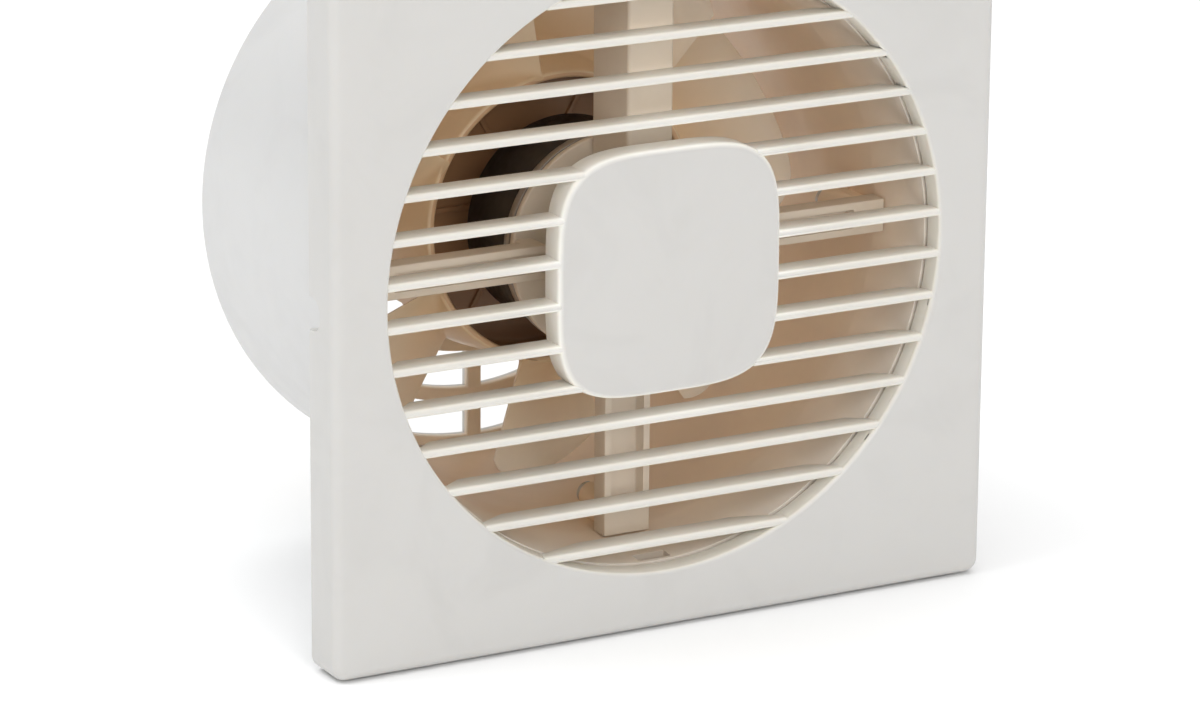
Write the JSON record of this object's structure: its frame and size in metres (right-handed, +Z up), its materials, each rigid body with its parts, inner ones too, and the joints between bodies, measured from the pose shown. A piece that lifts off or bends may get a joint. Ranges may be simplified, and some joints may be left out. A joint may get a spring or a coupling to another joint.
{
  "type": "axial extractor fan",
  "caption": "Square wall-mounted axial extractor fan with louvred front cover, blank squircle boss, round duct spigot, small motor on a spider, bladed impeller and rear guard.",
  "frame": {"origin": "centre of the wall face, on the duct axis", "axes": "+Y along the duct into the wall, +Z up, the cover faces -Y"},
  "size_m": [0.18, 0.106, 0.18],
  "materials": {
    "cover_plastic": "satin moulded",
    "housing_plastic": "satin moulded",
    "spider_plastic": "satin moulded",
    "guard_plastic": "satin moulded",
    "impeller_plastic": "satin moulded",
    "zinc_screw": "zinc plated",
    "black_rubber": "matt",
    "clamp_plastic": "moulded nylon",
    "terminal_plastic": "moulded nylon",
    "terminal_brass": "machined",
    "lead_insulation": "smooth",
    "plated_steel": "pressed and plated",
    "black_can": "black enamel",
    "bearing_bronze": "sintered",
    "laminations": "stacked steel sheet",
    "copper": "plain",
    "bobbin_nylon": "moulded nylon",
    "enamelled_copper": "varnished winding",
    "cage_aluminium": "cast",
    "ground_steel": "ground",
    "washer_nylon": "plain",
    "bush_brass": "machined"
  },
  "bodies": {
    "base": {"housing": "housing_plastic", "housing_base": "housing_plastic", "motor_spider": "spider_plastic", "spider_screws": "zinc_screw", "wiring_duct_cover": "spider_plastic", "rear_guard": "guard_plastic", "guard_screws": "zinc_screw", "cable_grommet": "black_rubber", "cable_clamp": "clamp_plastic", "clamp_screws": "zinc_screw", "terminal_block": "terminal_plastic", "terminal_contacts": "terminal_brass", "terminal_screws": "zinc_screw", "terminal_fixing_screw": "zinc_screw", "motor_leads": "lead_insulation", "motor_screws": "zinc_screw", "motor_front_plate": "plated_steel", "motor_can": "black_can", "front_bearing": "bearing_bronze", "rear_bearing": "bearing_bronze", "stator_core": "laminations", "shading_rings": "copper", "coil_bobbins": "bobbin_nylon", "stator_coils": "enamelled_copper"},
    "cover": {"front_grille": "cover_plastic"},
    "rotor": {"rotor_core": "laminations", "rotor_cage": "cage_aluminium", "motor_shaft": "ground_steel", "thrust_washers": "washer_nylon", "impeller": "impeller_plastic", "impeller_bush": "bush_brass", "impeller_retainer": "zinc_screw"}
  },
  "joints": [
    {"name": "impeller_spin", "type": "hinge", "parent": "base", "child": "rotor", "pos_m": [0, 0, 0], "axis": [0, 1, 0], "continuous": true},
    {"name": "cover_slide", "type": "slide", "parent": "base", "child": "cover", "axis": [0, -1, 0], "range_m": [0, 0.04]}
  ]
}
